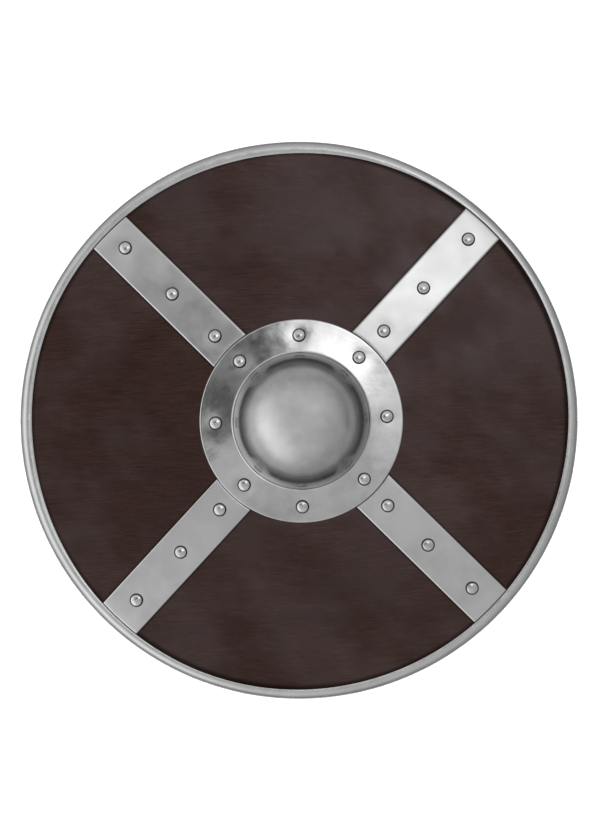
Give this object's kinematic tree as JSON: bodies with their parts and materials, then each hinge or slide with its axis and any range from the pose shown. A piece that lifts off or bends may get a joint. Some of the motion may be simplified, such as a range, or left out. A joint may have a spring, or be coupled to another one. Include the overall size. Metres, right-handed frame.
{
  "type": "round shield",
  "caption": "Round dished wooden shield with a rolled steel rim, a domed steel boss over the hand hole, diagonal steel straps and round-headed rivets.",
  "frame": {"origin": "centre of the ring on which the rim rests, on the surface that the shield lies on, face up", "axes": "+Z out of the shield's face, +Y towards its top, +X to the right seen from the front"},
  "size_m": [0.6098, 0.6098, 0.0958],
  "materials": {
    "board_wood": "dark stained wood with fine straight grain and a thin satin wax",
    "grip_wood": "dark stained wood, smooth from the hand",
    "rim_steel": "polished steel with light handling marks and hammered lip",
    "boss_steel": "polished steel, mirror-like on the dome, with fine rubbing marks",
    "strap_steel": "satin ground steel with bright bevelled edges",
    "rivet_steel": "polished round rivet heads with small nicks"
  },
  "bodies": {
    "root": {"board": "board_wood", "rim": "rim_steel", "boss": "boss_steel", "strap_upper_right": "strap_steel", "strap_upper_left": "strap_steel", "strap_lower_left": "strap_steel", "strap_lower_right": "strap_steel", "hand_grip": "grip_wood", "boss_rivet_1": "rivet_steel", "boss_rivet_2": "rivet_steel", "boss_rivet_3": "rivet_steel", "boss_rivet_4": "rivet_steel", "boss_rivet_5": "rivet_steel", "boss_rivet_6": "rivet_steel", "boss_rivet_7": "rivet_steel", "boss_rivet_8": "rivet_steel", "strap_upper_right_rivet_1": "rivet_steel", "strap_upper_right_rivet_2": "rivet_steel", "strap_upper_right_rivet_3": "rivet_steel", "strap_upper_left_rivet_1": "rivet_steel", "strap_upper_left_rivet_2": "rivet_steel", "strap_upper_left_rivet_3": "rivet_steel", "strap_lower_left_rivet_1": "rivet_steel", "strap_lower_left_rivet_2": "rivet_steel", "strap_lower_left_rivet_3": "rivet_steel", "strap_lower_right_rivet_1": "rivet_steel", "strap_lower_right_rivet_2": "rivet_steel", "strap_lower_right_rivet_3": "rivet_steel"}
  },
  "joints": []
}
